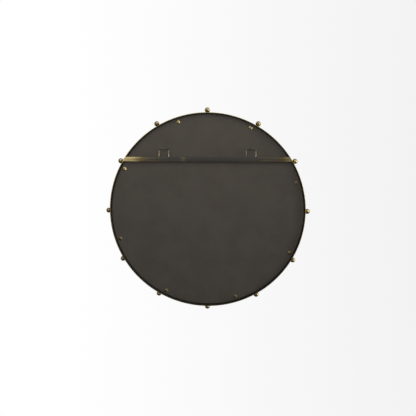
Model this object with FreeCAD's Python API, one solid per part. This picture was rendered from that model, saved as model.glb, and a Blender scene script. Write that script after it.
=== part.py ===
import FreeCAD, Part
import math
import os
from FreeCAD import Vector

# A round wall mirror in a brass hoop with twelve balls, in millimetres.
# The origin is the centre of the hoop on the wall plane, at the back rim of the hoop.
# +X is to the right seen from the front, +Y points into the wall, +Z is up.
# A depth is a distance in front of the wall plane, so a point at depth d has y = -d.

# Hoop: a flat band on edge, rolled to a circle and welded
hoop_outer_radius = 305.0
hoop_wall = 3.0
hoop_edge_ease = 0.5

# Balls: solid turned balls, each coped to the hoop and held by a spigot in a drilled hole
ball_count = 12
ball_radius = 8.0
ball_seat_depth = 1.0
ball_spigot_radius = 2.0
ball_spigot_clearance = 0.05

# Cross bar: a flat strip let into the back edge of the hoop
bar_height = 14.0
bar_thickness = 3.0
bar_centre_height = 162.5
bar_edge_ease = 0.5
bar_notch_clearance = 0.1

# Hanger loops: square staples of round wire, welded to the front of the cross bar
loop_spacing = 268.0
loop_width = 30.0
loop_rise = 25.0
loop_wire_radius = 1.5
loop_bend_radius = 3.5
loop_leg_end_margin = 3.0
loop_root_gap = 0.1
loop_weld_radius = 2.8

# Room for the head of a wall hook between the loops and the board
hook_room = 3.9

# Back board: painted fibreboard
board_thickness = 5.0
board_gap = 2.0
board_edge_ease = 0.5

# Inner flange: a ring welded inside the hoop, with threaded holes for the board screws
flange_width = 22.0
flange_thickness = 3.0

# Board screws: low domed heads with a cross recess
screw_count = 8
screw_inset = 12.0
screw_first_angle = 18.0
screw_shank_radius = 2.5
screw_thread_clearance = 0.05
screw_board_clearance = 0.25
screw_head_radius = 6.0
screw_head_height = 2.6
screw_head_rim = 0.5
screw_end_ease = 0.5
recess_length = 5.6
recess_width = 1.3
recess_depth = 1.5

# Foam tape: pads between the flange and the glass, one between each two screws
tape_thickness = 1.0
tape_edge_margin = 2.0
tape_pad_share = 0.55

# Mirror glass: a plain silvered disc with a ground edge
glass_thickness = 4.0
glass_gap = 1.0
glass_arris = 0.6
front_reveal = 15.0

# How far a cutting tool runs past what it cuts
overrun = 1.0

# Angles in degrees
full_turn = 360.0
quarter_turn = 90.0

# Radii that follow from the sizes above
hoop_inner_radius = hoop_outer_radius - hoop_wall
board_radius = hoop_inner_radius - board_gap
flange_inner_radius = hoop_inner_radius - flange_width
glass_radius = hoop_inner_radius - glass_gap
screw_circle_radius = hoop_inner_radius - screw_inset
ball_centre_radius = hoop_outer_radius + ball_radius - ball_seat_depth

# The stack of pieces, from the wall to the room
loop_wire_depth = bar_thickness + loop_root_gap + loop_wire_radius
board_back_depth = loop_wire_depth + loop_wire_radius + hook_room
flange_back_depth = board_back_depth + board_thickness
tape_back_depth = flange_back_depth + flange_thickness
glass_back_depth = tape_back_depth + tape_thickness
glass_front_depth = glass_back_depth + glass_thickness
hoop_depth = glass_front_depth + front_reveal
ball_depth = hoop_depth / 2

# Heights of the cross bar and of what stands on it
bar_top = bar_centre_height + bar_height / 2
bar_bottom = bar_centre_height - bar_height / 2
loop_crown_height = bar_top + loop_rise
loop_leg_end = bar_bottom + loop_leg_end_margin

origin = Vector(0, 0, 0)
wall_axis = Vector(0, 1, 0)
up_axis = Vector(0, 0, 1)


def turned(section, span=full_turn):
    # A solid of revolution about the wall axis, from (radius, depth) points
    corners = [Vector(0, -depth, radius) for radius, depth in section]
    face = Part.Face(Part.makePolygon(corners + corners[:1]))
    return face.revolve(origin, wall_axis, span)


def disc_section(radius, back, front, ease):
    return [
        (0, back),
        (radius - ease, back),
        (radius, back + ease),
        (radius, front - ease),
        (radius - ease, front),
        (0, front),
    ]


def ring_section(inner, outer, back, front):
    return [(inner, back), (outer, back), (outer, front), (inner, front)]


def eased_ring_section(inner, outer, back, front, ease):
    return [
        (inner + ease, back),
        (outer - ease, back),
        (outer, back + ease),
        (outer, front - ease),
        (outer - ease, front),
        (inner + ease, front),
        (inner, front - ease),
        (inner, back + ease),
    ]


def at_clock_angle(shape, angle):
    # Turns a shape made at twelve o'clock clockwise, seen from the front
    copy = shape.copy()
    copy.rotate(origin, wall_axis, angle)
    return copy


def round_hole(radius, circle_radius, back, front):
    # A cutter along the wall axis at twelve o'clock on a circle
    start = Vector(0, -(back - overrun), circle_radius)
    return Part.makeCylinder(radius, front - back + 2 * overrun, start, -wall_axis)


def screw_angles():
    pitch = full_turn / screw_count
    return [screw_first_angle + pitch * index for index in range(screw_count)]


def ball_angles():
    pitch = full_turn / ball_count
    return [pitch * (index + 1) for index in range(ball_count)]


def cut_all(shape, cutters):
    return shape.cut(Part.makeCompound(cutters))


def hoop_envelope():
    # The hoop's outer shape as a full disc; the balls and the bar's ends are fitted to it
    return turned(disc_section(hoop_outer_radius, 0, hoop_depth, hoop_edge_ease))


def bar_blank(side_clearance, back):
    # A box across the whole hoop, as high as the bar and down to its front face
    height = bar_height + 2 * side_clearance
    corner = Vector(-hoop_outer_radius - overrun, -bar_thickness, bar_bottom - side_clearance)
    return Part.makeBox(2 * (hoop_outer_radius + overrun), bar_thickness + back, height, corner)


def make_hoop():
    section = eased_ring_section(hoop_inner_radius, hoop_outer_radius, 0, hoop_depth, hoop_edge_ease)
    notches = bar_blank(bar_notch_clearance, overrun)
    hole_radius = ball_spigot_radius + ball_spigot_clearance
    start = Vector(0, -ball_depth, hoop_inner_radius - overrun)
    hole = Part.makeCylinder(hole_radius, hoop_wall + 2 * overrun, start, up_axis)
    holes = [at_clock_angle(hole, angle) for angle in ball_angles()]
    return cut_all(turned(section), [notches] + holes)


def make_ball():
    centre = Vector(0, -ball_depth, ball_centre_radius)
    ball = Part.makeSphere(ball_radius, centre)
    start = Vector(0, -ball_depth, hoop_inner_radius)
    spigot = Part.makeCylinder(ball_spigot_radius, ball_centre_radius - hoop_inner_radius, start, up_axis)
    return ball.cut(hoop_envelope()).fuse(spigot).removeSplitter()


def make_cross_bar():
    blank = bar_blank(0, 0)
    long_edges = [edge for edge in blank.Edges if edge.BoundBox.XLength > bar_height]
    return blank.makeChamfer(bar_edge_ease, long_edges).common(hoop_envelope())


def loop_corner(side):
    # The bend at the top of one leg, as an arc tangent to the leg and the crown
    leg_x = side * loop_width / 2
    bend_x = leg_x - side * loop_bend_radius
    bend_z = loop_crown_height - loop_bend_radius
    middle = loop_bend_radius * math.cos(math.radians(quarter_turn / 2))
    foot = Vector(leg_x, -loop_wire_depth, bend_z)
    mid = Vector(bend_x + side * middle, -loop_wire_depth, bend_z + middle)
    top = Vector(bend_x, -loop_wire_depth, loop_crown_height)
    return foot, mid, top


def make_hanger_loop(side):
    # A staple of round wire; its legs pass down the front of the bar, with a weld at the
    # bar's top edge and at the end of each leg that fills the root gap behind the wire
    left_foot, left_mid, left_top = loop_corner(-1)
    right_foot, right_mid, right_top = loop_corner(1)
    left_end = Vector(left_foot.x, -loop_wire_depth, loop_leg_end)
    right_end = Vector(right_foot.x, -loop_wire_depth, loop_leg_end)
    path = Part.Wire([
        Part.makeLine(left_end, left_foot),
        Part.Arc(left_foot, left_mid, left_top).toShape(),
        Part.makeLine(left_top, right_top),
        Part.Arc(right_top, right_mid, right_foot).toShape(),
        Part.makeLine(right_foot, right_end),
    ])
    section = Part.Wire(Part.makeCircle(loop_wire_radius, left_end, up_axis))
    wire = path.makePipeShell([section], True, False)
    welds = [
        Part.makeSphere(loop_weld_radius, Vector(end.x, -loop_wire_depth, height))
        for end in (left_end, right_end)
        for height in (bar_top, loop_leg_end)
    ]
    beads = Part.makeCompound(welds).cut(bar_blank(0, 0))
    staple = wire.fuse(beads.Solids).removeSplitter()
    staple.translate(Vector(side * loop_spacing / 2, 0, 0))
    return staple


def make_back_board():
    front = flange_back_depth
    board = turned(disc_section(board_radius, board_back_depth, front, board_edge_ease))
    hole_radius = screw_shank_radius + screw_board_clearance
    hole = round_hole(hole_radius, screw_circle_radius, board_back_depth, front)
    return cut_all(board, [at_clock_angle(hole, angle) for angle in screw_angles()])


def make_inner_flange():
    section = ring_section(flange_inner_radius, hoop_inner_radius, flange_back_depth, tape_back_depth)
    hole_radius = screw_shank_radius + screw_thread_clearance
    hole = round_hole(hole_radius, screw_circle_radius, flange_back_depth, tape_back_depth)
    return cut_all(turned(section), [at_clock_angle(hole, angle) for angle in screw_angles()])


def make_foam_tape():
    pitch = full_turn / screw_count
    span = pitch * tape_pad_share
    inner = flange_inner_radius + tape_edge_margin
    outer = glass_radius - tape_edge_margin
    pad = turned(ring_section(inner, outer, tape_back_depth, glass_back_depth), span)
    starts = [angle + (pitch - span) / 2 for angle in screw_angles()]
    return Part.makeCompound([at_clock_angle(pad, start) for start in starts])


def make_mirror_glass():
    return turned(disc_section(glass_radius, glass_back_depth, glass_front_depth, glass_arris))


def make_screw_head(seat):
    # A low dome on a short rim, with a cross recess; the head stands towards the wall
    dome_height = screw_head_height - screw_head_rim
    dome_radius = (screw_head_radius ** 2 + dome_height ** 2) / (2 * dome_height)
    dome_centre = seat + wall_axis * (screw_head_height - dome_radius)
    blank = Part.makeCylinder(screw_head_radius, screw_head_height, seat, wall_axis)
    head = blank.common(Part.makeSphere(dome_radius, dome_centre))
    floor = seat + wall_axis * (screw_head_height - recess_depth)
    across = Vector(recess_length / 2, 0, recess_width / 2)
    upright = Vector(recess_width / 2, 0, recess_length / 2)
    slots = [
        Part.makeBox(2 * half.x, recess_depth + overrun, 2 * half.z, floor - half)
        for half in (across, upright)
    ]
    return cut_all(head, slots)


def make_board_screws():
    seat = Vector(0, -board_back_depth, screw_circle_radius)
    length = board_thickness + flange_thickness
    shank = Part.makeCylinder(screw_shank_radius, length, seat, -wall_axis)
    end_edges = [edge for edge in shank.Edges if edge.BoundBox.YMax < -flange_back_depth]
    shank = shank.makeChamfer(screw_end_ease, end_edges)
    screw = make_screw_head(seat).fuse(shank).removeSplitter()
    return Part.makeCompound([at_clock_angle(screw, angle) for angle in screw_angles()])


def write(name, shape):
    solids = shape.Solids
    valid = shape.isValid() and all(solid.Volume > 0 for solid in solids)
    print(f"{name}: {len(solids)} solid(s), valid {valid}, volume {shape.Volume:.1f}")
    (solids[0] if len(solids) == 1 else shape).exportStep(f"parts/{name}.step")


def main():
    os.makedirs("parts", exist_ok=True)
    write("hoop", make_hoop())
    ball = make_ball()
    for number, angle in enumerate(ball_angles(), start=1):
        write(f"ball_{number:02d}", at_clock_angle(ball, angle))
    write("cross_bar", make_cross_bar())
    write("hanger_loop_left", make_hanger_loop(-1))
    write("hanger_loop_right", make_hanger_loop(1))
    write("back_board", make_back_board())
    write("board_screws", make_board_screws())
    write("inner_flange", make_inner_flange())
    write("foam_tape", make_foam_tape())
    write("mirror_glass", make_mirror_glass())


main()
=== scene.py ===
import math
import bmesh
import bpy
from mathutils import Matrix, Vector, noise


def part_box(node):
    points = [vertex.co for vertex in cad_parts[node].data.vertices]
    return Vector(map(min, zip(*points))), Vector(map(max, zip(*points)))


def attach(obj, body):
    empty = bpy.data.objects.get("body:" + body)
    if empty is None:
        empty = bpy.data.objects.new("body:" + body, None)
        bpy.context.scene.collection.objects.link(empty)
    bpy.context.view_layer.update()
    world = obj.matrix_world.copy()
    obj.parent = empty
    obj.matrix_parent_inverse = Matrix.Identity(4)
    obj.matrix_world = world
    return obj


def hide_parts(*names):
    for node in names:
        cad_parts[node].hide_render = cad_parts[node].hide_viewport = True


# A round wall mirror in a brass hoop, seen from behind.
# Metres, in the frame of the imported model: +Y points into the wall, +Z is up,
# and a depth is a distance in front of the wall, so a point at depth d has y = -d.
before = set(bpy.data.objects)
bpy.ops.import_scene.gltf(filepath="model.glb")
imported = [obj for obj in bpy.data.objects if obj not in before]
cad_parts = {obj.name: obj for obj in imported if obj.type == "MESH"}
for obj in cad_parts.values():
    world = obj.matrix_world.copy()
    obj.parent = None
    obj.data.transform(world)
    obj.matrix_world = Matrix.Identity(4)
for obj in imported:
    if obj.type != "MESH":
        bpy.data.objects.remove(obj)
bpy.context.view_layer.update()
mm = 0.001
softStep = {"interpolation_type": "SMOOTHSTEP"}     # how every map range here blends


# Small helpers

def linear(hexColour):
    # an sRGB hex colour as the linear numbers that sockets take
    parts = [int(hexColour[place:place + 2], 16) / 255 for place in (1, 3, 5)]
    return tuple(c / 12.92 if c <= 0.04045 else ((c + 0.055) / 1.055) ** 2.4 for c in parts) + (1.0,)


def feed(tree, node, inputs):
    # fills or links a node's inputs, given in order, by name or by number; a mix has its share at 0,
    # values at 2 and 3 and colours at 6 and 7. A node given as an input stands for its first open
    # output.
    for key, value in inputs.items() if isinstance(inputs, dict) else enumerate(inputs):
        if isinstance(value, bpy.types.Node):
            value = next(socket for socket in value.outputs if socket.enabled)
        if isinstance(value, bpy.types.NodeSocket):
            tree.links.new(value, node.inputs[key])
        else:
            node.inputs[key].default_value = value


def addNode(tree, kind, inputs=(), **settings):
    # adds a node with its settings and its inputs
    node = tree.nodes.new(kind)
    for name, value in settings.items():
        setattr(node, name, value)
    feed(tree, node, inputs)
    return node


def newTree(name, sizes):
    # an empty Geometry Nodes tree with named inputs; sizes maps a name to its kind of socket
    tree = bpy.data.node_groups.new(name, "GeometryNodeTree")
    tree.interface.new_socket("Geometry", in_out="INPUT", socket_type="NodeSocketGeometry")
    for label, kind in sizes.items():
        tree.interface.new_socket(label, in_out="INPUT", socket_type="NodeSocket" + kind)
    tree.interface.new_socket("Geometry", in_out="OUTPUT", socket_type="NodeSocketGeometry")
    return tree, addNode(tree, "NodeGroupInput").outputs


def closeTree(tree, geometry, material):
    # every tree ends in real faces with their material on
    real = addNode(tree, "GeometryNodeRealizeInstances", (geometry,))
    dressed = addNode(tree, "GeometryNodeSetMaterial", {"Geometry": real, "Material": material})
    addNode(tree, "NodeGroupOutput", (dressed,))


def plainObject(name, data):
    thing = bpy.data.objects.new(name, data)
    bpy.context.scene.collection.objects.link(thing)
    return thing


def frozenMesh(thing):
    # the object's mesh with its modifiers worked in; the object itself goes
    evaluated = thing.evaluated_get(bpy.context.evaluated_depsgraph_get())
    mesh = bpy.data.meshes.new_from_object(evaluated)
    bpy.data.objects.remove(thing)
    return mesh


def grownMesh(name, tree, values, start=None):
    # runs a tree on a start mesh and gives back what it makes
    thing = plainObject(name, start or bpy.data.meshes.new(name))
    modifier = thing.modifiers.new("tree", "NODES")
    modifier.node_group = tree
    for socket in tree.interface.items_tree:
        if socket.in_out == "INPUT" and socket.name in values:
            modifier[socket.identifier] = values[socket.name]
    return frozenMesh(thing)


def cutMesh(mesh, tool, operation="DIFFERENCE"):
    # cuts one mesh with another, exactly
    thing, cutter = plainObject("cut", mesh), plainObject("cutter", tool)
    modifier = thing.modifiers.new("cut", "BOOLEAN")
    modifier.operation, modifier.solver, modifier.object = operation, "EXACT", cutter
    result = frozenMesh(thing)
    bpy.data.objects.remove(cutter)
    return result


def meshFrom(name, made):
    # the mesh of a finished bmesh, which goes
    mesh = bpy.data.meshes.new(name)
    made.to_mesh(mesh)
    made.free()
    return mesh


def smoothed(mesh, sharpAngle=40):
    # soft shading with crisp corners, and flat faces that stay flat beside a small round edge
    mesh.shade_smooth()
    mesh.set_sharp_from_angle(angle=math.radians(sharpAngle))
    thing = plainObject("smoothed", mesh)
    modifier = thing.modifiers.new("flat faces", "WEIGHTED_NORMAL")
    modifier.keep_sharp = True
    modifier.weight = 100
    return frozenMesh(thing)


def addPiece(name, mesh, materials, slot, *nodes):
    # puts a finished mesh in the scene, in place of the CAD nodes that it stands for
    mesh.name = name
    mesh.materials.clear()
    for material in materials:
        mesh.materials.append(material)
    piece = plainObject(name, mesh)
    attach(piece, "root")
    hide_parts(*nodes)
    print(f"{name}: {len(mesh.polygons)} faces, for {', '.join(nodes)}")
    return piece


def discSection(radius, back, front, edge, steps=5):
    # (radius, depth) points from the middle of a disc's back, over two round corners, to its front
    points = [(0, back)]
    for depth, start in ((back + edge, -90), (front - edge, 0)):
        for step in range(steps + 1):
            angle = math.radians(start + 90 * step / steps)
            points.append((radius - edge + edge * math.cos(angle), depth + edge * math.sin(angle)))
    return points + [(0, front)]


def turnedMesh(name, section, steps):
    # turns (radius, depth) points round the wall axis, from one point on the axis to another
    turned = bmesh.new()
    rings = []
    for radius, depth in section:
        angles = [math.tau * step / steps for step in range(steps if radius > 0 else 1)]
        rings.append([
            turned.verts.new((radius * math.sin(angle), -depth, radius * math.cos(angle))) for angle in angles
        ])
    for first, second in zip(rings, rings[1:]):
        for step in range(steps):
            after = (step + 1) % steps
            corners = [first[step % len(first)], second[step % len(second)]]
            corners += [second[after % len(second)], first[after % len(first)]]
            turned.faces.new(list(dict.fromkeys(corners)))
    bmesh.ops.recalc_face_normals(turned, faces=turned.faces)
    return meshFrom(name, turned)


def boxMesh(name, low, high, edge=0, steps=4):
    # a box; edge rounds the four edges that run along X
    box = bmesh.new()
    bmesh.ops.create_cube(box, size=1)
    size, centre = high - low, (high + low) / 2
    place = Matrix.Translation(centre) @ Matrix.Diagonal(size.to_4d())
    bmesh.ops.transform(box, matrix=place, verts=box.verts)
    if edge:
        long = [side for side in box.edges if abs(side.verts[0].co.x - side.verts[1].co.x) > size.x / 2]
        bmesh.ops.bevel(box, geom=long, offset=edge, segments=steps, profile=0.5, affect="EDGES")
    return meshFrom(name, box)


# Materials

def newMaterial(name):
    material = bpy.data.materials.new(name)
    material.use_nodes = True
    tree = material.node_tree
    place = addNode(tree, "ShaderNodeTexCoord").outputs["Object"]
    return material, tree, tree.nodes["Principled BSDF"], place


def twoTone(name, colours, kind, size, **detail):
    # a new material whose colour moves between two along a pattern
    material, tree, shader, place = newMaterial(name)
    pattern = addNode(tree, "ShaderNodeTex" + kind, {"Vector": place, "Scale": 1 / size, **detail})
    first, second = map(linear, colours)
    colour = addNode(tree, "ShaderNodeMix", {0: pattern, 6: first, 7: second}, data_type="RGBA")
    feed(tree, shader, {"Base Color": colour})
    return material, tree, shader, pattern


brass = {
    # each finish from rubbed bare, over brown, to whole dark oxide
    "hoopColours": ("#cbb26c", "#7c6538", "#24221e"),   # the band stayed longest in the bath
    "barColours": ("#bcaa79", "#7b6b45", "#353330"),
    "wireColours": ("#b5ad94", "#77705e", "#383632"),   # the drawn wire took a greyer finish
    "brownAt": 0.45,
    "oxideAt": 0.85,
    "brushMarks": 0.1,          # how far a brush line shifts the finish
    "metallic": (1.0, 0.15),
    "roughness": (0.24, 0.5),
    "lacquer": 0.1,
    "lacquerRoughness": 0.15,
    "cloudSize": 60 * mm,
    "streakWidth": 1.5 * mm,    # the real brush lines are 0.1 mm, too fine to show
    "streakLength": 80 * mm,
    "streakHeight": 0.02 * mm,
    "rubWidth": 1.6 * mm,
}


def brushedStreaks(tree, axes, across, along):
    # noise stretched the way that the piece was brushed; along names the axes that it runs along
    width, length = 1 / brass["streakWidth"], 1 / brass["streakLength"]
    parts = {"Y": addNode(tree, "ShaderNodeMath", (across, width), operation="MULTIPLY")}
    for axis in along:
        parts[axis] = addNode(tree, "ShaderNodeMath", (axes[axis], length), operation="MULTIPLY")
    stretched = addNode(tree, "ShaderNodeCombineXYZ", parts)
    return addNode(tree, "ShaderNodeTexNoise", {"Vector": stretched, "Scale": 1.0, "Detail": 2.0})


def ringRadius(tree, axes):
    # distance from the hoop's own axis
    flat = addNode(tree, "ShaderNodeCombineXYZ", {"X": axes["X"], "Z": axes["Z"]})
    return addNode(tree, "ShaderNodeVectorMath", (flat,), operation="LENGTH")


def antiqueBrass(tree, shader, dark, streaks, colours):
    # Brass darkened in a bath, brushed back and lacquered: bare and bright where dark is 0, then
    # brown, then dull oxide towards 1, with fine brush lines
    marks = brass["brushMarks"]
    lines = addNode(tree, "ShaderNodeMapRange", (streaks, 0.3, 0.7, -marks, marks), **softStep)
    worn = addNode(tree, "ShaderNodeMath", (dark, lines), operation="ADD", use_clamp=True)
    ramp = addNode(tree, "ShaderNodeValToRGB", (worn,))
    stops = ramp.color_ramp.elements
    stops.new(brass["brownAt"])
    stops[2].position = brass["oxideAt"]
    for stop, colour in zip(stops, colours):
        stop.color = linear(colour)
    covered = (worn, 0.5, brass["oxideAt"], *brass["metallic"])
    bare = addNode(tree, "ShaderNodeMapRange", covered, **softStep)
    dull = addNode(tree, "ShaderNodeMapRange", (worn, 0.0, 1.0, *brass["roughness"]), **softStep)
    bump = addNode(tree, "ShaderNodeBump", {
        "Height": streaks, "Distance": brass["streakHeight"], "Strength": 0.5,
    })
    feed(tree, shader, {
        "Base Color": ramp, "Metallic": bare, "Roughness": dull, "Normal": bump,
        "Specular IOR Level": 0.3,
        "Coat Weight": brass["lacquer"], "Coat Roughness": brass["lacquerRoughness"],
    })


hoopWear = {
    "mottle": (0.1, 0.45),      # 0 is bare brass, 1 is whole oxide
    # how dark the recess behind the board gets: oxide, deepened into painted shade
    "recess": 0.92,
    "backCorner": 0.6,          # how much is rubbed off the corner,
    "frontRim": (0.05, 0.25),   # and off the front, from patch to patch
}


def hoopBrass():
    # The hoop: mottled brown gold outside and in front, dark in the recess behind, partly oxide and partly
    # painted shade, with the outer corner of the back rim and the front rim rubbed bright
    material, tree, shader, place = newMaterial("antiqueBrassHoop")
    axes = addNode(tree, "ShaderNodeSeparateXYZ", (place,)).outputs
    radius = ringRadius(tree, axes)
    around = addNode(tree, "ShaderNodeMath", (axes["Y"], radius), operation="ADD")
    streaks = brushedStreaks(tree, axes, around, ("X", "Z"))
    clouds = addNode(tree, "ShaderNodeTexNoise", {
        "Vector": place, "Scale": 1 / brass["cloudSize"], "Detail": 5.0, "Roughness": 0.6,
    })
    mottled = addNode(tree, "ShaderNodeMapRange", (clouds, 0.35, 0.68, *hoopWear["mottle"]), **softStep)
    inner = hoop["outerRadius"] - brass["rubWidth"]
    corner = (radius, inner, inner + 0.5 * brass["rubWidth"])
    inside = addNode(tree, "ShaderNodeMapRange", (*corner, 1.0, 0.0), **softStep)
    # the recess behind the board is darkened, partly oxide and partly painted shade
    depths = (axes["Y"], -board["front"], -board["back"])
    behind = addNode(tree, "ShaderNodeMapRange", (*depths, 0.0, hoopWear["recess"]), **softStep)
    recess = addNode(tree, "ShaderNodeMath", (inside, behind), operation="MULTIPLY")
    outside = addNode(tree, "ShaderNodeMapRange", (*corner, 0.0, hoopWear["backCorner"]), **softStep)
    atBack = addNode(tree, "ShaderNodeMapRange", (axes["Y"], -brass["rubWidth"], 0.0), **softStep)
    rubbedBack = addNode(tree, "ShaderNodeMath", (outside, atBack), operation="MULTIPLY")
    patchy = addNode(tree, "ShaderNodeMapRange", (clouds, 0.4, 0.6, *hoopWear["frontRim"]), **softStep)
    front = -hoop["depth"]
    atFront = addNode(tree, "ShaderNodeMapRange", (axes["Y"], front + brass["rubWidth"], front), **softStep)
    rubbedFront = addNode(tree, "ShaderNodeMath", (patchy, atFront), operation="MULTIPLY")
    rubbed = addNode(tree, "ShaderNodeMath", (rubbedBack, rubbedFront), operation="ADD")
    kept = addNode(tree, "ShaderNodeMath", (mottled, rubbed), operation="SUBTRACT", use_clamp=True)
    dark = addNode(tree, "ShaderNodeMath", (kept, recess), operation="MAXIMUM")
    antiqueBrass(tree, shader, dark, streaks, brass["hoopColours"])
    return material


barWear = {
    "near": (0.58, 1.12),       # where a bare end begins, as a share of the reach, and how bare it gets; partly a painted highlight
    "far": (0.8, 1.25),
    "handled": (0.2, 0.8, 0.2), # from one share of the reach to another, and how much
    "spot": 74 * mm,
    "spotSize": 14 * mm,
    "spotWear": 0.3,
    "edgeWear": 0.1,
    "patches": (0.75, 1.05),    # times this from patch to patch,
    "edges": (0.75, 1.1),       # and from the middle of the strip to its long edges
    "oxide": 0.95,
}


def barBrass():
    # The bar: oxide all along, bare where it was cleaned for the solder at its ends, more at one end
    # than at the other, with a rubbed spot and a paler lower edge. The bright ends are partly wear and partly
    # a painted highlight.
    material, tree, shader, place = newMaterial("antiqueBrassBar")
    axes = addNode(tree, "ShaderNodeSeparateXYZ", (place,)).outputs
    across = addNode(tree, "ShaderNodeMath", (axes["Y"], axes["Z"]), operation="ADD")
    streaks = brushedStreaks(tree, axes, across, ("X",))
    clouds = addNode(tree, "ShaderNodeTexNoise", {
        "Vector": place, "Scale": 1 / brass["cloudSize"], "Detail": 5.0, "Roughness": 0.6,
    })
    reach, half = bar["reach"], bar["half"]
    along = addNode(tree, "ShaderNodeMath", (axes["X"],), operation="ABSOLUTE")
    start, end, amount = barWear["handled"]
    handled = (along, start * reach, end * reach, 0.0, amount)
    bare = addNode(tree, "ShaderNodeMapRange", handled, **softStep)
    toSpot = addNode(tree, "ShaderNodeMath", (axes["X"], barWear["spot"]), operation="SUBTRACT")
    fromSpot = addNode(tree, "ShaderNodeMath", (toSpot,), operation="ABSOLUTE")
    lower = bar["middle"] - half
    for worn in (
        (fromSpot, 0.0, barWear["spotSize"], barWear["spotWear"], 0.0),
        (axes["Z"], lower + 2 * brass["rubWidth"], lower, 0.0, barWear["edgeWear"]),
    ):
        more = addNode(tree, "ShaderNodeMapRange", worn, **softStep)
        bare = addNode(tree, "ShaderNodeMath", (bare, more), operation="ADD")
    # the bare ends, partly wear and partly a painted highlight
    for side, (start, amount) in ((1, barWear["near"]), (-1, barWear["far"])):
        end = addNode(tree, "ShaderNodeMapRange", (
            axes["X"], side * start * reach, side * reach, 0.0, amount,
        ), **softStep)
        bare = addNode(tree, "ShaderNodeMath", (bare, end), operation="MAXIMUM")
    toMiddle = addNode(tree, "ShaderNodeMath", (axes["Z"], bar["middle"]), operation="SUBTRACT")
    fromMiddle = addNode(tree, "ShaderNodeMath", (toMiddle,), operation="ABSOLUTE")
    width = (fromMiddle, 0.2 * half, half, *barWear["edges"])
    edges = addNode(tree, "ShaderNodeMapRange", width, **softStep)
    patchy = addNode(tree, "ShaderNodeMapRange", (clouds, 0.3, 0.6, *barWear["patches"]), **softStep)
    uneven = addNode(tree, "ShaderNodeMath", (patchy, edges), operation="MULTIPLY")
    gone = addNode(tree, "ShaderNodeMath", (bare, uneven), operation="MULTIPLY")
    dark = addNode(tree, "ShaderNodeMath", (barWear["oxide"], gone), operation="SUBTRACT", use_clamp=True)
    antiqueBrass(tree, shader, dark, streaks, brass["barColours"])
    return material


wireWear = {
    "cloudSize": 18 * mm,
    "mottle": (0.0, 0.4),
    # how much the crown is darkened, as painted shade
    "crown": 0.5,
    "weld": 0.3,
}


def wireBrass():
    # The loops: drawn wire, rubbed on the legs, with its oxide left round the welds, and the crown darkened
    # as painted shade
    material, tree, shader, place = newMaterial("antiqueBrassWire")
    axes = addNode(tree, "ShaderNodeSeparateXYZ", (place,)).outputs
    across = addNode(tree, "ShaderNodeMath", (axes["X"], axes["Y"]), operation="ADD")
    streaks = brushedStreaks(tree, axes, across, ("Z",))
    clouds = addNode(tree, "ShaderNodeTexNoise", {
        "Vector": place, "Scale": 1 / wireWear["cloudSize"], "Detail": 4.0,
    })
    crown = barHigh.z + loop["rise"] - loop["bendRadius"]
    dark = addNode(tree, "ShaderNodeMapRange", (clouds, 0.35, 0.65, *wireWear["mottle"]), **softStep)
    for kept in (
        # the crown: painted shade on the top of the loop; the welds: oxide
        (axes["Z"], crown - loop["bendRadius"], crown, 0.0, wireWear["crown"]),
        (axes["Z"], barHigh.z + 2 * loop["beadRadius"], barHigh.z, 0.0, wireWear["weld"]),
    ):
        oxide = addNode(tree, "ShaderNodeMapRange", kept, **softStep)
        dark = addNode(tree, "ShaderNodeMath", (dark, oxide), operation="ADD")
    antiqueBrass(tree, shader, dark, streaks, brass["wireColours"])
    return material


ballFinish = {
    "bright": "#c6b272",
    "seat": "#221e17",
    "cloudSize": 9 * mm,
    "polishSize": 220 * mm,     # large, so that each ball has one tone of its own
    "patches": 0.35,
    "ownTone": 0.3,
    "roughness": (0.05, 0.18),
    "lacquerRoughness": 0.05,
}


def polishedBallBrass():
    # Solid brass balls, darkened with the hoop, polished by hand, some more than others, and
    # lacquered. The crown is bright and smooth, the seat keeps its dark finish.
    material, tree, shader, place = newMaterial("polishedAntiqueBrass")
    axes = addNode(tree, "ShaderNodeSeparateXYZ", (place,)).outputs
    foot, crown = hoop["outerRadius"], hoop["outerRadius"] + ball["radius"]
    clouds = addNode(tree, "ShaderNodeTexNoise", {
        "Vector": place, "Scale": 1 / ballFinish["cloudSize"], "Detail": 4.0,
    })
    polish = addNode(tree, "ShaderNodeTexNoise", {
        "Vector": place, "Scale": 1 / ballFinish["polishSize"], "Detail": 0.0,
    })
    patchy = addNode(tree, "ShaderNodeMapRange", (clouds, 0.4, 0.7, 0.0, ballFinish["patches"]), **softStep)
    own = addNode(tree, "ShaderNodeMapRange", (polish, 0.3, 0.7, 0.0, ballFinish["ownTone"]), **softStep)
    uneven = addNode(tree, "ShaderNodeMath", (patchy, own), operation="ADD")
    seat = addNode(tree, "ShaderNodeMapRange", (ringRadius(tree, axes), foot, crown, 1.0, 0.0), **softStep)
    dark = addNode(tree, "ShaderNodeMath", (seat, uneven), operation="ADD", use_clamp=True)
    colour = addNode(tree, "ShaderNodeMix", {
        0: dark, 6: linear(ballFinish["bright"]), 7: linear(ballFinish["seat"]),
    }, data_type="RGBA")
    rough = addNode(tree, "ShaderNodeMapRange", (dark, 0.0, 1.0, *ballFinish["roughness"]), **softStep)
    feed(tree, shader, {
        "Base Color": colour, "Roughness": rough, "Metallic": 1.0,
        "Coat Weight": 1.0, "Coat Roughness": ballFinish["lacquerRoughness"],
    })
    return material


screwFinish = {
    "bright": "#dcca92",
    "dull": "#74664a",
    "painted": "#463f35",
    "paintedFrom": -267 * mm,   # X beyond which a head is darkened; only one is
    "darkHeadShare": 0.8,
    "dullerBelow": (128.1 * mm, 76.25 * mm, 0.8),   # from which height down to which, and how much
    "cloudSize": 3 * mm,
    "patches": 0.4,
    "roughness": (0.4, 0.5),
}


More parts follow.
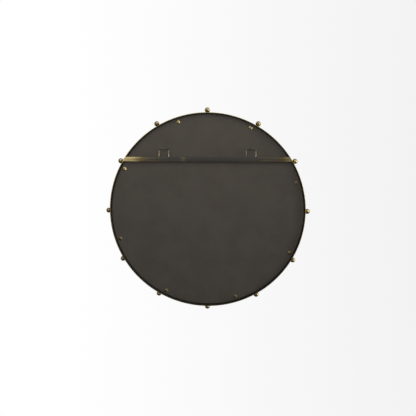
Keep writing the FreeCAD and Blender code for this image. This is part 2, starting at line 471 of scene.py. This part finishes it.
def platedScrewBrass():
    # Steel screws with thin brass plating, satin from the barrel, a little duller in patches. The
    # lower ones are duller, and the one head nearest the rim at -X is darkened to grey-brown and made less
    # metallic.
    material, tree, shader, place = newMaterial("platedScrewBrass")
    axes = addNode(tree, "ShaderNodeSeparateXYZ", (place,)).outputs
    clouds = addNode(tree, "ShaderNodeTexNoise", {
        "Vector": place, "Scale": 1 / screwFinish["cloudSize"], "Detail": 4.0,
    })
    patchy = addNode(tree, "ShaderNodeMapRange", (clouds, 0.4, 0.65, 0.0, screwFinish["patches"]), **softStep)
    # the heads get duller towards the bottom
    start, end, amount = screwFinish["dullerBelow"]
    dullerBelow = addNode(tree, "ShaderNodeMapRange", (axes["Z"], start, end, 0.0, amount), **softStep)
    dull = addNode(tree, "ShaderNodeMath", (patchy, dullerBelow), operation="ADD", use_clamp=True)
    plated = addNode(tree, "ShaderNodeMix", {
        0: dull, 6: linear(screwFinish["bright"]), 7: linear(screwFinish["dull"]),
    }, data_type="RGBA")
    # one head, beyond this X, is darkened to grey-brown and made less metallic
    start = screwFinish["paintedFrom"]
    beyond = (axes["X"], start, start - mm, 0.0, screwFinish["darkHeadShare"])
    painted = addNode(tree, "ShaderNodeMapRange", beyond, **softStep)
    colour = addNode(tree, "ShaderNodeMix", {
        0: painted, 6: plated, 7: linear(screwFinish["painted"]),
    }, data_type="RGBA")
    rough = addNode(tree, "ShaderNodeMapRange", (dull, 0.0, 1.0, *screwFinish["roughness"]), **softStep)
    metal = addNode(tree, "ShaderNodeMath", (1.0, painted), operation="SUBTRACT")
    feed(tree, shader, {"Base Color": colour, "Roughness": rough, "Metallic": metal})
    return material


boardFinish = {
    "paint": "#423d37",
    "worn": "#49443e",
    "cloudSize": 70 * mm,
    "clouds": 0.75,             # 0 is fresh paint, 1 is worn
    "fleckSize": 9 * mm,
    "flecks": (-0.1, 0.25),
    "grainSize": 1.1 * mm,      # roller texture, a little coarser than real so that it shows
    "grainHeight": 0.03 * mm,
    "roughness": (0.62, 0.74),
}


def boardPaint():
    # Fibreboard with one coat of matt grey-brown paint from a roller. It gives a flat dull tone
    # with faint clouds and a fine pebbled skin.
    material, tree, shader, place = newMaterial("mattPaintOnFibreboard")
    clouds = addNode(tree, "ShaderNodeTexNoise", {
        "Vector": place, "Scale": 1 / boardFinish["cloudSize"], "Detail": 4.0, "Roughness": 0.55,
    })
    flecks = addNode(tree, "ShaderNodeTexNoise", {
        "Vector": place, "Scale": 1 / boardFinish["fleckSize"], "Detail": 3.0,
    })
    grain = addNode(tree, "ShaderNodeTexNoise", {
        "Vector": place, "Scale": 1 / boardFinish["grainSize"], "Detail": 2.0,
    })
    cloudy = addNode(tree, "ShaderNodeMapRange", (clouds, 0.35, 0.65, 0.0, boardFinish["clouds"]), **softStep)
    flecked = addNode(tree, "ShaderNodeMapRange", (flecks, 0.35, 0.7, *boardFinish["flecks"]), **softStep)
    worn = addNode(tree, "ShaderNodeMath", (cloudy, flecked), operation="ADD", use_clamp=True)
    colour = addNode(tree, "ShaderNodeMix", {
        0: worn, 6: linear(boardFinish["paint"]), 7: linear(boardFinish["worn"]),
    }, data_type="RGBA")
    rough = addNode(tree, "ShaderNodeMapRange", (worn, 0.0, 1.0, *boardFinish["roughness"]), **softStep)
    bump = addNode(tree, "ShaderNodeBump", {
        "Height": grain, "Distance": boardFinish["grainHeight"], "Strength": 0.6,
    })
    feed(tree, shader, {
        "Base Color": colour, "Roughness": rough, "Specular IOR Level": 0.3, "Normal": bump,
    })
    return material


flangeFinish = {
    "colours": ("#1b1a19", "#2b2927"),
    "spraySize": 2 * mm,
    "sprayHeight": 0.03 * mm,
    "roughness": (0.5, 0.65),
}


def flangePrimer():
    # Steel ring with black primer from a can: matt, with a faint dry spray grain
    material, tree, shader, spray = twoTone(
        "blackPrimerOnSteel", flangeFinish["colours"], "Noise", flangeFinish["spraySize"], Detail=3.0,
    )
    rough = addNode(tree, "ShaderNodeMapRange", (spray, 0.3, 0.7, *flangeFinish["roughness"]), **softStep)
    bump = addNode(tree, "ShaderNodeBump", {
        "Height": spray, "Distance": flangeFinish["sprayHeight"], "Strength": 0.5,
    })
    feed(tree, shader, {"Roughness": rough, "Normal": bump})
    return material


foamFinish = {
    "colours": ("#2f2f30", "#3d3d3e"),
    "cellSize": 0.8 * mm,
    "cellHeight": 0.1 * mm,
    "roughness": 0.9,
}


def closedCellFoam():
    # Grey foam tape: dull, with small cells at the cut edge
    material, tree, shader, cells = twoTone(
        "closedCellFoam", foamFinish["colours"], "Voronoi", foamFinish["cellSize"],
    )
    bump = addNode(tree, "ShaderNodeBump", {
        "Height": cells, "Distance": foamFinish["cellHeight"], "Strength": 0.5,
    })
    feed(tree, shader, {"Roughness": foamFinish["roughness"], "Normal": bump})
    return material


glassFinish = {
    "silver": ("#eef3f0", "#e6ece9"),
    "dustSize": 120 * mm,
    "ground": ("#7f9c90", "#a9bfb5"),
    "frostSize": 1.5 * mm,
    "groundRoughness": (0.28, 0.4),
    "glassIndex": 1.52,
    "backing": ("#5f6264", "#6d7072"),
    "backingClouds": 25 * mm,
    "backingRoughness": 0.55,
}


def silveredFace():
    # Float glass silvered on its back: a clear, very slightly green mirror with a breath of dust
    material, tree, shader, _ = twoTone(
        "silveredFloatGlass", glassFinish["silver"], "Noise", glassFinish["dustSize"],
        Detail=5.0, Roughness=0.65,
    )
    feed(tree, shader, {"Roughness": 0.0, "Metallic": 1.0})
    return material


def groundGlassEdge():
    # The ground and dubbed edge of the glass: frosted sea green
    material, tree, shader, frost = twoTone(
        "groundGlassEdge", glassFinish["ground"], "Noise", glassFinish["frostSize"], Detail=4.0,
    )
    span = glassFinish["groundRoughness"]
    rough = addNode(tree, "ShaderNodeMapRange", (frost, 0.3, 0.7, *span), **softStep)
    feed(tree, shader, {"Roughness": rough, "IOR": glassFinish["glassIndex"]})
    return material


def backingPaint():
    # Grey protective paint over the silver
    material, tree, shader, _ = twoTone(
        "mirrorBackingPaint", glassFinish["backing"], "Noise", glassFinish["backingClouds"], Detail=4.0,
    )
    feed(tree, shader, {"Roughness": glassFinish["backingRoughness"]})
    return material


# Camera: the photograph's viewing angle, a little above the centre and turned slightly to one side

view = {
    "azimuth": 182.25,
    "elevation": 8.74,
    "distance": 1.7495,
    "lens": 48.67,
    "sensorWidth": 36,
    "aimRight": 2.65 * mm,      # the hoop's centre sits a little left of and below the frame's centre
    "aimUp": 11.4 * mm,
}


def directionTo(azimuth, elevation):
    # a unit vector; azimuth 0 is in front of the glass, 180 is behind the board
    a, e = math.radians(azimuth), math.radians(elevation)
    return Vector((math.sin(a) * math.cos(e), -math.cos(a) * math.cos(e), math.sin(e)))


def addCamera():
    back = directionTo(view["azimuth"], view["elevation"])
    right = Vector((0, 0, 1)).cross(back).normalized()
    up = back.cross(right)
    aim = right * view["aimRight"] + up * view["aimUp"]
    data = bpy.data.cameras.new("camera")
    data.lens = view["lens"]
    data.sensor_width = view["sensorWidth"]
    camera = plainObject("camera", data)
    turn = Matrix((right, up, back)).transposed().to_4x4()
    camera.matrix_world = Matrix.Translation(aim + back * view["distance"]) @ turn
    bpy.context.scene.camera = camera
    print("camera set")


addCamera()


# Hoop: a flat band swept round a circle, notched at the back edge for the cross bar

hoopLow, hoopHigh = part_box("hoop")
hoop = {
    "outerRadius": hoopHigh.x,
    "depth": -hoopLow.y,
    "wall": 3 * mm,
    "edgeRadius": 0.5 * mm,
    "edgeSteps": 5,
    "notchClearance": 0.1 * mm,
    "steps": 720,
}


def hoopTree():
    tree, given = newTree("rolledHoop", {
        "Outer Radius": "Float", "Wall": "Float", "Depth": "Float", "Edge Radius": "Float",
        "Edge Steps": "Int", "Steps": "Int", "Material": "Material",
    })
    halfWall = addNode(tree, "ShaderNodeMath", (given["Wall"], 0.5), operation="MULTIPLY")
    middle = addNode(tree, "ShaderNodeMath", (given["Outer Radius"], halfWall), operation="SUBTRACT")
    circle = addNode(tree, "GeometryNodeCurvePrimitiveCircle", {
        "Resolution": given["Steps"], "Radius": middle,
    })
    upright = addNode(tree, "GeometryNodeSetCurveNormal", {"Curve": circle}, mode="Z_UP")
    section = addNode(tree, "GeometryNodeCurvePrimitiveQuadrilateral", {
        "Width": given["Wall"], "Height": given["Depth"],
    }, mode="RECTANGLE")
    eased = addNode(tree, "GeometryNodeFilletCurve", {
        "Curve": section, "Radius": given["Edge Radius"], "Count": given["Edge Steps"],
    }, mode="POLY")
    band = addNode(tree, "GeometryNodeCurveToMesh", {"Curve": upright, "Profile Curve": eased})
    depthMiddle = addNode(tree, "ShaderNodeMath", (given["Depth"], -0.5), operation="MULTIPLY")
    turned = addNode(tree, "GeometryNodeTransform", {
        "Geometry": band, "Translation": addNode(tree, "ShaderNodeCombineXYZ", {"Y": depthMiddle}),
        "Rotation": (math.pi / 2, 0, 0),
    })
    closeTree(tree, turned, given["Material"])
    return tree


def addHoop():
    material = hoopBrass()
    band = grownMesh("hoopBand", hoopTree(), {
        "Outer Radius": hoop["outerRadius"], "Wall": hoop["wall"], "Depth": hoop["depth"],
        "Edge Radius": hoop["edgeRadius"], "Edge Steps": hoop["edgeSteps"],
        "Steps": hoop["steps"], "Material": material,
    })
    room = Vector((0, hoop["notchClearance"], hoop["notchClearance"]))
    notch = boxMesh("notch", bar["low"] - Vector((0, 0, room.z)), bar["high"] + room)
    addPiece("hoopBand", smoothed(cutMesh(band, notch)), [material], "antique_brass", "hoop")


# Cross bar: flat strip with rounded long edges, its ends dressed to the outside of the hoop

barLow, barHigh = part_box("cross_bar")
bar = {
    "low": Vector((-hoop["outerRadius"] - mm, barLow.y, barLow.z)),     # a little long, then dressed
    "high": Vector((hoop["outerRadius"] + mm, barHigh.y, barHigh.z)),
    "edgeRadius": 0.5 * mm,
    "reach": barHigh.x,
    "middle": (barLow.z + barHigh.z) / 2,
    "half": (barHigh.z - barLow.z) / 2,
}


def addCrossBar():
    material = barBrass()
    blank = boxMesh("crossBar", bar["low"], bar["high"], bar["edgeRadius"])
    section = discSection(hoop["outerRadius"], 0, hoop["depth"], hoop["edgeRadius"])
    dressed = cutMesh(blank, turnedMesh("hoopDisc", section, hoop["steps"]), "INTERSECT")
    addPiece("crossBar", smoothed(dressed), [material], "antique_brass", "cross_bar")


# Hanger loops: bent round wire with small welds where the legs lie on the bar

loop = {
    "width": 30 * mm,
    "rise": 25 * mm,
    "wireRadius": 1.5 * mm,
    "wireSteps": 28,
    "bendRadius": 3.5 * mm,
    "bendSteps": 10,
    "legEndMargin": 3 * mm,
    "rootGap": 0.1 * mm,
    "beadRadius": 2.6 * mm,
    "beadRoughness": 0.12,
    "beadLump": 1.4 * mm,
    "beadShift": 7.3,
    "sharpAngle": 50,
}


def wireTree():
    tree, given = newTree("bentWire", {
        "Wire Radius": "Float", "Wire Steps": "Int", "Bend Radius": "Float", "Bend Steps": "Int",
        "Material": "Material",
    })
    path = addNode(tree, "GeometryNodeMeshToCurve", {"Mesh": given["Geometry"]})
    bent = addNode(tree, "GeometryNodeFilletCurve", {
        "Curve": path, "Radius": given["Bend Radius"], "Count": given["Bend Steps"],
    }, mode="POLY")
    section = addNode(tree, "GeometryNodeCurvePrimitiveCircle", {
        "Resolution": given["Wire Steps"], "Radius": given["Wire Radius"],
    })
    wire = addNode(tree, "GeometryNodeCurveToMesh", {
        "Curve": bent, "Profile Curve": section, "Fill Caps": True,
    })
    closeTree(tree, wire, given["Material"])
    return tree


def weldBead(centre, seed):
    # a small uneven lump of weld; the seed moves the noise on, so that no two are alike
    bead = bmesh.new()
    bmesh.ops.create_icosphere(bead, subdivisions=3, radius=loop["beadRadius"])
    for vert in bead.verts:
        lump = noise.noise(vert.co / loop["beadLump"] + Vector((seed * loop["beadShift"], 0, 0)))
        vert.co *= 1 + loop["beadRoughness"] * lump
    bmesh.ops.translate(bead, vec=centre, verts=bead.verts)
    return meshFrom("bead", bead)


def addHangerLoops():
    material = wireBrass()
    tree = wireTree()
    depth = -barLow.y + loop["rootGap"] + loop["wireRadius"]
    crown, legEnd = barHigh.z + loop["rise"], barLow.z + loop["legEndMargin"]
    for name, node in (("wireLoopLeft", "hanger_loop_left"), ("wireLoopRight", "hanger_loop_right")):
        low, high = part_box(node)
        centre = (low.x + high.x) / 2
        legs = [centre - loop["width"] / 2, centre + loop["width"] / 2]
        places = [(legs[0], legEnd), (legs[0], crown), (legs[1], crown), (legs[1], legEnd)]
        path = bpy.data.meshes.new("path")
        path.from_pydata([(x, -depth, z) for x, z in places], [(0, 1), (1, 2), (2, 3)], [])
        wire = grownMesh(name, tree, {
            "Wire Radius": loop["wireRadius"], "Wire Steps": loop["wireSteps"],
            "Bend Radius": loop["bendRadius"], "Bend Steps": loop["bendSteps"], "Material": material,
        }, path)
        joined = bmesh.new()
        joined.from_mesh(wire)
        for x in legs:
            for z in (barHigh.z, legEnd):
                joined.from_mesh(weldBead(Vector((x, -depth, z)), x + z))
        mesh = meshFrom(name, joined)
        mesh.shade_smooth()
        mesh.set_sharp_from_angle(angle=math.radians(loop["sharpAngle"]))
        addPiece(name, mesh, [material], "antique_brass", node)


# A ring of equal pieces, for the balls and the screws

def ringTree():
    tree, given = newTree("ringOfPieces", {
        "Piece": "Object", "Count": "Int", "Ring Radius": "Float", "Depth": "Float",
        "First Angle": "Float", "Loose Turn": "Float", "Seed": "Int", "Material": "Material",
    })
    points = addNode(tree, "GeometryNodePoints", {"Count": given["Count"]})
    index = addNode(tree, "GeometryNodeInputIndex")
    pitch = addNode(tree, "ShaderNodeMath", (math.tau, given["Count"]), operation="DIVIDE")
    turned = addNode(tree, "ShaderNodeMath", (index, pitch), operation="MULTIPLY")
    angle = addNode(tree, "ShaderNodeMath", (turned, given["First Angle"]), operation="ADD")
    parts = {"Y": addNode(tree, "ShaderNodeMath", (given["Depth"], -1.0), operation="MULTIPLY")}
    for axis, wave in (("X", "SINE"), ("Z", "COSINE")):
        share = addNode(tree, "ShaderNodeMath", (angle,), operation=wave)
        parts[axis] = addNode(tree, "ShaderNodeMath", (share, given["Ring Radius"]), operation="MULTIPLY")
    placed = addNode(tree, "GeometryNodeSetPosition", {
        "Geometry": points, "Position": addNode(tree, "ShaderNodeCombineXYZ", parts),
    })
    loose = addNode(tree, "FunctionNodeRandomValue", {
        2: 0.0, 3: given["Loose Turn"], "ID": index, "Seed": given["Seed"],
    }, data_type="FLOAT")
    turn = addNode(tree, "ShaderNodeMath", (angle, loose), operation="ADD")
    piece = addNode(tree, "GeometryNodeObjectInfo", {"Object": given["Piece"]})
    copies = addNode(tree, "GeometryNodeInstanceOnPoints", {
        "Points": placed, "Instance": piece.outputs["Geometry"],
        "Rotation": addNode(tree, "ShaderNodeCombineXYZ", {"Y": turn}),
    })
    closeTree(tree, copies, given["Material"])
    return tree


ring = ringTree()


def ringMesh(name, pattern, values):
    # copies a pattern piece round the ring, then throws the pattern away
    template = plainObject(name + "Pattern", pattern)
    mesh = grownMesh(name, ring, {"Piece": template, **values})
    bpy.data.objects.remove(template)
    return mesh


# Balls: turned balls with a thin line of solder round the seat

ball = {
    "count": 12,
    "radius": 8 * mm,
    "seatDepth": 1 * mm,
    "solderRadius": 0.6 * mm,
    "solderSteps": 6,
    "sunk": 0.3 * mm,           # how far the foot reaches into the hoop's wall
    "depth": hoop["depth"] / 2,
    "firstAngle": 0.0,
    "profileSteps": 36,
    "steps": 56,
    "sharpAngle": 60,
}


def ballSection():
    # (radius, height above the hoop) from the sunk foot, over the solder, to the crown
    size, solder = ball["radius"], ball["solderRadius"]
    height = size - ball["seatDepth"]
    reach = math.sqrt((size + solder) ** 2 - (height - solder) ** 2)
    lean = math.atan2(reach, height - solder)
    points = [(0, -ball["sunk"]), (reach, -ball["sunk"])]
    for step in range(ball["solderSteps"] + 1):
        angle = lean * step / ball["solderSteps"]
        points.append((reach - solder * math.sin(angle), solder - solder * math.cos(angle)))
    for step in range(1, ball["profileSteps"]):
        angle = lean + (math.pi - lean) * step / ball["profileSteps"]
        points.append((size * math.sin(angle), height - size * math.cos(angle)))
    return points + [(0, height + size)]


def addBalls():
    pattern = turnedMesh("ball", [(radius, -height) for radius, height in ballSection()], ball["steps"])
    pattern.transform(Matrix.Rotation(math.pi / 2, 4, "X"))
    pattern.shade_smooth()
    pattern.set_sharp_from_angle(angle=math.radians(ball["sharpAngle"]))
    material = polishedBallBrass()
    mesh = ringMesh("ballRing", pattern, {
        "Count": ball["count"], "Ring Radius": hoop["outerRadius"], "Depth": ball["depth"],
        "First Angle": ball["firstAngle"], "Material": material,
    })
    nodes = [f"ball_{number:02d}" for number in range(1, ball["count"] + 1)]
    addPiece("ballRing", mesh, [material], "ball_brass", *nodes)


# Back board: flat disc with softened edges

boardLow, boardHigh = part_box("back_board")
board = {
    "radius": boardHigh.z,
    "back": -boardHigh.y,
    "front": -boardLow.y,
    "edgeRadius": 0.5 * mm,
    "steps": 480,
}


def addBackBoard():
    section = discSection(board["radius"], board["back"], board["front"], board["edgeRadius"])
    mesh = smoothed(turnedMesh("backBoard", section, board["steps"]))
    addPiece("backBoard", mesh, [boardPaint()], "dark_board", "back_board")


# Board screws: low domed heads with a cross recess, each stopped at its own angle

screw = {
    "count": 8,
    "firstAngle": math.radians(18),
    "looseTurn": math.pi / 2,
    "seed": 4,
    "inset": 12 * mm,
    "shankRadius": 2.5 * mm,
    "length": 8 * mm,
    "headRadius": 6 * mm,
    "headHeight": 2.6 * mm,
    "domeSteps": 12,
    "rim": 0.5 * mm,
    "recessLength": 5.6 * mm,
    "recessWidth": 1.3 * mm,
    "recessDepth": 1.5 * mm,
    "recessTaper": 0.62,
    "steps": 64,
    "sharpAngle": 35,
}


def screwSection():
    # (radius, depth) with the head standing towards the wall, at negative depths
    rise = screw["headHeight"] - screw["rim"]
    dome = (screw["headRadius"] ** 2 + rise ** 2) / (2 * rise)
    lean = math.asin(screw["headRadius"] / dome)
    points = [(0, -screw["headHeight"])]
    for step in range(1, screw["domeSteps"] + 1):
        angle = lean * step / screw["domeSteps"]
        points.append((dome * math.sin(angle), dome * (1 - math.cos(angle)) - screw["headHeight"]))
    points += [(screw["headRadius"], 0), (screw["shankRadius"], 0)]
    points += [(screw["shankRadius"], screw["length"] - screw["rim"])]
    points += [(screw["shankRadius"] - screw["rim"], screw["length"]), (0, screw["length"])]
    return points


def recessTool(quarterTurn):
    # one bar of the cross, narrow at the floor and wider than the mouth where it stands above the head
    tool = bmesh.new()
    bmesh.ops.create_cube(tool, size=1)
    size = (screw["recessLength"], 2 * screw["recessDepth"], screw["recessWidth"])
    for vert in tool.verts:
        spread = screw["recessTaper"] if vert.co.y < 0 else 1 / screw["recessTaper"] ** 0.5
        vert.co = Vector((vert.co.x * size[0] * spread, vert.co.y * size[1], vert.co.z * size[2] * spread))
    bmesh.ops.translate(tool, vec=(0, screw["headHeight"], 0), verts=tool.verts)
    if quarterTurn:
        bmesh.ops.rotate(tool, matrix=Matrix.Rotation(math.pi / 2, 3, "Y"), verts=tool.verts)
    return meshFrom("recess", tool)


def addScrews():
    pattern = turnedMesh("screw", screwSection(), screw["steps"])
    for quarterTurn in (False, True):
        pattern = cutMesh(pattern, recessTool(quarterTurn))
    material = platedScrewBrass()
    mesh = ringMesh("boardScrews", smoothed(pattern, screw["sharpAngle"]), {
        "Count": screw["count"], "Ring Radius": hoop["outerRadius"] - hoop["wall"] - screw["inset"],
        "Depth": board["back"], "First Angle": screw["firstAngle"],
        "Loose Turn": screw["looseTurn"], "Seed": screw["seed"], "Material": material,
    })
    addPiece("boardScrews", mesh, [material], "screw_brass", "board_screws")


# Mirror glass: silvered face, ground edge and painted back on one disc

glassLow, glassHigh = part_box("mirror_glass")
glass = {
    "radius": glassHigh.z,
    "back": -glassHigh.y,
    "front": -glassLow.y,
    "arris": 0.6 * mm,
    "flat": 0.9,                # how squarely a face looks along Y, at least, to be no part of the edge
    "steps": 480,
    "sharpAngle": 30,
}


def addMirrorGlass():
    section = discSection(glass["radius"], glass["back"], glass["front"], glass["arris"], steps=1)
    mesh = smoothed(turnedMesh("mirrorGlass", section, glass["steps"]), glass["sharpAngle"])
    materials = [silveredFace(), groundGlassEdge(), backingPaint()]
    piece = addPiece("mirrorGlass", mesh, materials, "silvered_glass", "mirror_glass")
    for face in piece.data.polygons:
        towards = face.normal.y
        face.material_index = 0 if towards < -glass["flat"] else 2 if towards > glass["flat"] else 1


# The flange ring and the foam tape keep their CAD shapes and get their finishes

def dressNode(node, material):
    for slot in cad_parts[node].material_slots:
        slot.material = material
    print(f"{node}: finished as {material.name}")


addHoop()
addCrossBar()
addHangerLoops()
addBalls()
addBackBoard()
addScrews()
addMirrorGlass()
dressNode("inner_flange", flangePrimer())
dressNode("foam_tape", closedCellFoam())


# Studio: white all round, with soft lamps and a floor far below. What metal and glass mirror is the
# pale backdrop in front of the glass, and behind the board a darker room with soft boxes.

studio = {
    "floorHeight": -1.6,        # under a mirror that hangs at eye height
    "floorRadius": 8.0,
    "floorSteps": 96,
    "floorColours": ("#dedede", "#e4e4e4"),
    "speckleSize": 30 * mm,
    "shadowReach": 1.5,         # beyond this the floor can't be told from the background
    "shadowShare": 0.25,
    "fill": 0.12,               # light from all round on what isn't glossy
    "white": 0.947,             # the background straight ahead, its fall to one side and its limits
    "whiteFall": 0.19,
    "whiteLimits": (0.88, 1.0),
    # What glossy pieces see. Each row says from which share of a direction along an axis, to which,
    # and how bright both are.
    "belt": (-0.55, 0.0, 0.05, 0.15),       # Y, from in front of the mirror round to its sides
    "room": (0.6, 0.92, 0.0, 0.17),         # Y, added behind it
    "below": (-0.6, 0.1, 0.4, 1.0),         # Z, times this
    "aside": (-0.4, 0.6, 1.15, 0.65),       # X, times this
    "backdrop": (-0.5, 0.45, 0.3, 1.0),     # Z, from its foot to its top
    "backdropInMetal": (-0.8, -0.95),       # Y, from where it doesn't show to where it does
    "backdropInGlass": (0.1, -0.3),
}
softBoxes = [
    {"azimuth": 164, "elevation": 0, "half": (0.1, 0.25), "soft": 0.1, "level": 1.8},
    {"azimuth": 252, "elevation": -4, "half": (0.35, 0.35), "soft": 0.15, "level": 4.2},
    {"azimuth": 95, "elevation": 12, "half": (0.16, 0.8), "soft": 0.1, "level": 0.8},
    {"azimuth": 190, "elevation": 58, "half": (0.8, 0.45), "soft": 0.25, "level": 1.4},
    {"azimuth": 65, "elevation": 35, "half": (0.35, 0.35), "soft": 0.2, "level": 0.3},
    {"azimuth": 295, "elevation": 30, "half": (0.3, 0.5), "soft": 0.2, "level": 1.3},
]
softLamps = {
    "keyLamp": {"azimuth": 172, "elevation": 38, "distance": 1.0, "size": 1.4, "watts": 11},
    "sideLamp": {"azimuth": 256, "elevation": 16, "distance": 3.0, "size": 1.2, "watts": 50},
    "frontLamp": {"azimuth": 0, "elevation": 45, "distance": 1.8, "size": 1.1, "watts": 20},
}


def addLamp(name, lamp):
    data = bpy.data.lights.new(name, "AREA")
    data.size = lamp["size"]
    data.energy = lamp["watts"]
    light = plainObject(name, data)
    towards = directionTo(lamp["azimuth"], lamp["elevation"])
    light.location = towards * lamp["distance"]
    light.rotation_euler = towards.to_track_quat("Z", "Y").to_euler()
    light.visible_glossy = False
    print(f"{name} set")


def boxGlow(tree, ray, box):
    # how brightly one soft box shows in a direction
    towards = directionTo(box["azimuth"], box["elevation"])
    right = Vector((0, 0, 1)).cross(towards).normalized()
    ahead = addNode(tree, "ShaderNodeVectorMath", (ray, towards), operation="DOT_PRODUCT")
    glow = addNode(tree, "ShaderNodeMath", (ahead, 0.0), operation="GREATER_THAN")
    for axis, half in zip((right, towards.cross(right)), box["half"]):
        side = addNode(tree, "ShaderNodeVectorMath", (ray, axis), operation="DOT_PRODUCT")
        slope = addNode(tree, "ShaderNodeMath", (side, ahead), operation="DIVIDE")
        share = addNode(tree, "ShaderNodeMath", (slope,), operation="ABSOLUTE")
        low, high = half - box["soft"], half + box["soft"]
        within = addNode(tree, "ShaderNodeMapRange", (share, low, high, 1.0, 0.0), **softStep)
        glow = addNode(tree, "ShaderNodeMath", (glow, within), operation="MULTIPLY")
    return addNode(tree, "ShaderNodeMath", (glow, box["level"]), operation="MULTIPLY")


def backgroundWhite(tree, ray):
    # the photograph's background, white with a faint fall to one side
    sideways = addNode(tree, "ShaderNodeSeparateXYZ", (ray,)).outputs["X"]
    fall = (sideways, studio["whiteFall"], studio["white"])
    level = addNode(tree, "ShaderNodeMath", fall, operation="MULTIPLY_ADD")
    return addNode(tree, "ShaderNodeClamp", (level, *studio["whiteLimits"]))


def mirroredLevel(tree, ray, sharp):
    # Satin metal sees a dark belt round the sides and the backdrop only straight ahead. The glass,
    # which mirrors sharply, sees the backdrop all over. The room is dimmer below and to one side.
    axes = addNode(tree, "ShaderNodeSeparateXYZ", (ray,)).outputs
    level = addNode(tree, "ShaderNodeMapRange", (axes["Y"], *studio["belt"]), **softStep)
    more = addNode(tree, "ShaderNodeMapRange", (axes["Y"], *studio["room"]), **softStep)
    level = addNode(tree, "ShaderNodeMath", (level, more), operation="ADD")
    for axis, side in (("Z", "below"), ("X", "aside")):
        dim = addNode(tree, "ShaderNodeMapRange", (axes[axis], *studio[side]), **softStep)
        level = addNode(tree, "ShaderNodeMath", (level, dim), operation="MULTIPLY")
    backdrop = addNode(tree, "ShaderNodeMapRange", (axes["Z"], *studio["backdrop"]), **softStep)
    forMetal = addNode(tree, "ShaderNodeMapRange", (axes["Y"], *studio["backdropInMetal"]), **softStep)
    forGlass = addNode(tree, "ShaderNodeMapRange", (axes["Y"], *studio["backdropInGlass"]), **softStep)
    ahead = addNode(tree, "ShaderNodeMix", {0: sharp, 2: forMetal, 3: forGlass})
    level = addNode(tree, "ShaderNodeMix", {0: ahead, 2: level, 3: backdrop})
    for box in softBoxes:
        level = addNode(tree, "ShaderNodeMath", (level, boxGlow(tree, ray, box)), operation="ADD")
    return level


def addWorld():
    world = bpy.data.worlds.new("studio")
    world.use_nodes = True
    world.cycles.sampling_method = "NONE"
    bpy.context.scene.world = world
    tree = world.node_tree
    tree.nodes.clear()
    rays = addNode(tree, "ShaderNodeLightPath").outputs
    ray = addNode(tree, "ShaderNodeTexCoord").outputs["Generated"]
    levels = (backgroundWhite(tree, ray), studio["fill"], mirroredLevel(tree, ray, rays["Is Singular Ray"]))
    white, fill, mirrored = [
        addNode(tree, "ShaderNodeBackground", {"Color": (1, 1, 1, 1), "Strength": level}) for level in levels
    ]
    soft = addNode(tree, "ShaderNodeMixShader", (rays["Is Glossy Ray"], fill, mirrored))
    through = (rays["Is Camera Ray"], rays["Is Transmission Ray"])
    seen = addNode(tree, "ShaderNodeMath", through, operation="MAXIMUM")
    both = addNode(tree, "ShaderNodeMixShader", (seen, soft, white))
    addNode(tree, "ShaderNodeOutputWorld", {"Surface": both})
    print("studio lit")


def floorMaterial():
    # White floor. The camera sees the background through it, and the object's shadow near the middle.
    # From below it doesn't show at all.
    material, tree, shader, _ = twoTone(
        "whiteFloor", studio["floorColours"], "Noise", studio["speckleSize"], Detail=3.0,
    )
    feed(tree, shader, {"Roughness": 1.0, "Specular IOR Level": 0.0})
    place = addNode(tree, "ShaderNodeTexCoord").outputs["Object"]
    reach = addNode(tree, "ShaderNodeVectorMath", (place,), operation="LENGTH")
    near, far = -studio["floorHeight"], math.hypot(studio["shadowReach"], studio["floorHeight"])
    share = addNode(tree, "ShaderNodeMapRange", (reach, near, far, studio["shadowShare"], 0.0), **softStep)
    isCamera = addNode(tree, "ShaderNodeLightPath").outputs["Is Camera Ray"]
    shown = addNode(tree, "ShaderNodeMix", {0: isCamera, 2: 1.0, 3: share})
    below = addNode(tree, "ShaderNodeNewGeometry").outputs["Backfacing"]
    above = addNode(tree, "ShaderNodeMath", (1.0, below), operation="SUBTRACT")
    solid = addNode(tree, "ShaderNodeMath", (shown, above), operation="MULTIPLY")
    clear = addNode(tree, "ShaderNodeBsdfTransparent")
    floor = addNode(tree, "ShaderNodeMixShader", (solid, clear, shader))
    feed(tree, tree.nodes["Material Output"], {"Surface": floor})
    return material


def addFloor():
    disc = bmesh.new()
    bmesh.ops.create_circle(disc, cap_ends=True, segments=studio["floorSteps"], radius=studio["floorRadius"])
    bmesh.ops.translate(disc, vec=(0, 0, studio["floorHeight"]), verts=disc.verts)
    floor = plainObject("floor", meshFrom("floor", disc))
    floor.data.materials.append(floorMaterial())
    floor.visible_glossy = False
    print("floor set")


addWorld()
addFloor()
for name, lamp in softLamps.items():
    addLamp(name, lamp)

bpy.context.scene.view_settings.view_transform = "Standard"
